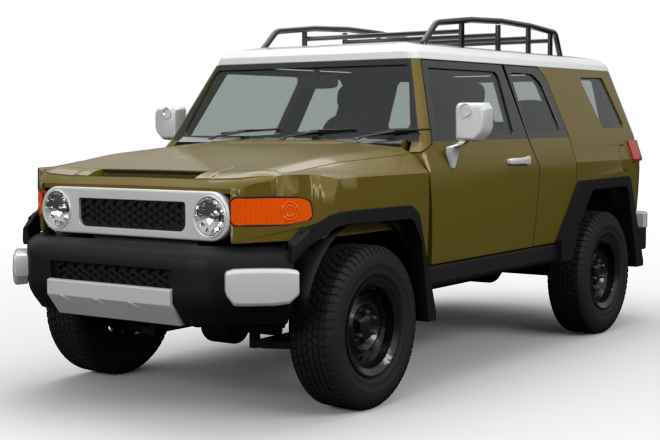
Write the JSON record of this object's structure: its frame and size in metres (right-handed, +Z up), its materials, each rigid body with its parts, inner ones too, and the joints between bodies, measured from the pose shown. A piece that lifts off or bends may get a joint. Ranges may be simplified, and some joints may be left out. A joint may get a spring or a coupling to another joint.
{
  "type": "lifted off-road 4x4",
  "caption": "Lifted off-road 4x4: steered wheels on knuckles, hinged doors, rear-hinged access doors, hood, fuel lid and tailgate with spare, roof rack, seats and a steering wheel.",
  "frame": {"origin": "middle of the bounding box at ground level, under the car", "axes": "+X to the car's left side, +Y to the tail, so the nose faces -Y, and +Z up"},
  "size_m": [2.2418, 4.67, 1.9748],
  "materials": {
    "olive_paint": "gloss",
    "white_paint": "gloss",
    "silver_paint": "satin",
    "black_paint": "gloss",
    "black_plastic": "matt",
    "trim_plastic": "matt",
    "chassis_steel": "satin",
    "raw_steel": "brushed",
    "cast_metal": "cast",
    "lamp_lens": "clear",
    "amber_lens": "gloss",
    "red_lens": "gloss",
    "window_glass": "clear",
    "tyre_rubber": "matt",
    "wiper_rubber": "matt",
    "seat_fabric": "woven"
  },
  "bodies": {
    "chassis": {"bumper_guards": "silver_paint", "dashboard": "trim_plastic", "driveline": "cast_metal", "engine_block": "cast_metal", "exhaust": "raw_steel", "fenders": "olive_paint", "fixed_glass": "window_glass", "floor_tub": "chassis_steel", "frame": "chassis_steel", "front_bumper": "black_plastic", "front_seats": "seat_fabric", "front_suspension": "chassis_steel", "fuel_tank": "black_plastic", "grille_mesh": "black_plastic", "grille_surround": "silver_paint", "headlamps": "lamp_lens", "quarter_panels": "olive_paint", "radiator": "cast_metal", "rear_axle": "chassis_steel", "rear_bumper": "black_plastic", "rear_seat": "seat_fabric", "roof": "white_paint", "roof_rack": "black_paint", "side_cladding": "black_plastic", "skid_plate": "silver_paint", "steering_column": "trim_plastic", "tail_lamps": "red_lens", "turn_lamps": "amber_lens", "windscreen_frame": "black_paint", "wipers": "wiper_rubber"},
    "knuckle_left": {"knuckle_left": "cast_metal"},
    "knuckle_right": {"knuckle_right": "cast_metal"},
    "wheel_front_left": {"tyre_front_left": "tyre_rubber", "rim_front_left": "black_paint"},
    "wheel_front_right": {"tyre_front_right": "tyre_rubber", "rim_front_right": "black_paint"},
    "wheel_rear_left": {"tyre_rear_left": "tyre_rubber", "rim_rear_left": "black_paint"},
    "wheel_rear_right": {"tyre_rear_right": "tyre_rubber", "rim_rear_right": "black_paint"},
    "front_door_left": {"front_door_left": "olive_paint", "front_door_glass_left": "window_glass", "front_door_fittings_left": "silver_paint"},
    "front_door_right": {"front_door_right": "olive_paint", "front_door_glass_right": "window_glass", "front_door_fittings_right": "silver_paint"},
    "rear_door_left": {"rear_door_left": "olive_paint", "rear_door_glass_left": "window_glass"},
    "rear_door_right": {"rear_door_right": "olive_paint", "rear_door_glass_right": "window_glass"},
    "tailgate": {"tailgate": "olive_paint", "tailgate_glass": "window_glass", "rim_spare": "black_paint", "tyre_spare": "tyre_rubber"},
    "hood": {"hood": "olive_paint"},
    "fuel_lid": {"fuel_lid": "olive_paint"},
    "steering_wheel": {"steering_wheel": "trim_plastic"}
  },
  "joints": [
    {"name": "steer_left", "type": "hinge", "parent": "chassis", "child": "knuckle_left", "pos_m": [0.73, -1.485, 0.392], "axis": [0, 0, 1], "range_deg": [-32, 32]},
    {"name": "steer_right", "type": "hinge", "parent": "chassis", "child": "knuckle_right", "pos_m": [-0.73, -1.485, 0.392], "axis": [0, 0, 1], "range_deg": [-32, 32]},
    {"name": "steering_wheel_turn", "type": "hinge", "parent": "chassis", "child": "steering_wheel", "pos_m": [0.385, -0.50186, 1.09537], "axis": [0, 0.9061, 0.423], "range_deg": [-570, 570]},
    {"name": "wheel_front_left_spin", "type": "hinge", "parent": "knuckle_left", "child": "wheel_front_left", "pos_m": [0.8025, -1.485, 0.392], "axis": [1, 0, 0], "continuous": true},
    {"name": "wheel_front_right_spin", "type": "hinge", "parent": "knuckle_right", "child": "wheel_front_right", "pos_m": [-0.8025, -1.485, 0.392], "axis": [1, 0, 0], "continuous": true},
    {"name": "wheel_rear_left_spin", "type": "hinge", "parent": "chassis", "child": "wheel_rear_left", "pos_m": [0.8025, 1.205, 0.392], "axis": [1, 0, 0], "continuous": true},
    {"name": "wheel_rear_right_spin", "type": "hinge", "parent": "chassis", "child": "wheel_rear_right", "pos_m": [-0.8025, 1.205, 0.392], "axis": [1, 0, 0], "continuous": true},
    {"name": "front_door_left_hinge", "type": "hinge", "parent": "chassis", "child": "front_door_left", "pos_m": [0.915, -0.986, 1], "axis": [0, 0, -1], "range_deg": [0, 65]},
    {"name": "front_door_right_hinge", "type": "hinge", "parent": "chassis", "child": "front_door_right", "pos_m": [-0.915, -0.986, 1], "axis": [0, 0, 1], "range_deg": [0, 65]},
    {"name": "rear_door_left_hinge", "type": "hinge", "parent": "chassis", "child": "rear_door_left", "pos_m": [0.95, 0.76, 1], "axis": [0, 0, 1], "range_deg": [0, 88]},
    {"name": "rear_door_right_hinge", "type": "hinge", "parent": "chassis", "child": "rear_door_right", "pos_m": [-0.95, 0.76, 1], "axis": [0, 0, -1], "range_deg": [0, 88]},
    {"name": "tailgate_hinge", "type": "hinge", "parent": "chassis", "child": "tailgate", "pos_m": [0.642, 2.013, 1.2], "axis": [0, 0, -1], "range_deg": [0, 90]},
    {"name": "hood_hinge", "type": "hinge", "parent": "chassis", "child": "hood", "pos_m": [0, -0.998, 1.27], "axis": [-1, 0, 0], "range_deg": [0, 50]},
    {"name": "fuel_lid_hinge", "type": "hinge", "parent": "chassis", "child": "fuel_lid", "pos_m": [0.9165, 1.455, 1.117], "axis": [0, 0, -1], "range_deg": [0, 100]}
  ],
  "couplings": [
    {"joint": "steer_right", "follows": "steer_left", "ratio": 1},
    {"joint": "steering_wheel_turn", "follows": "steer_left", "ratio": 17.7}
  ]
}
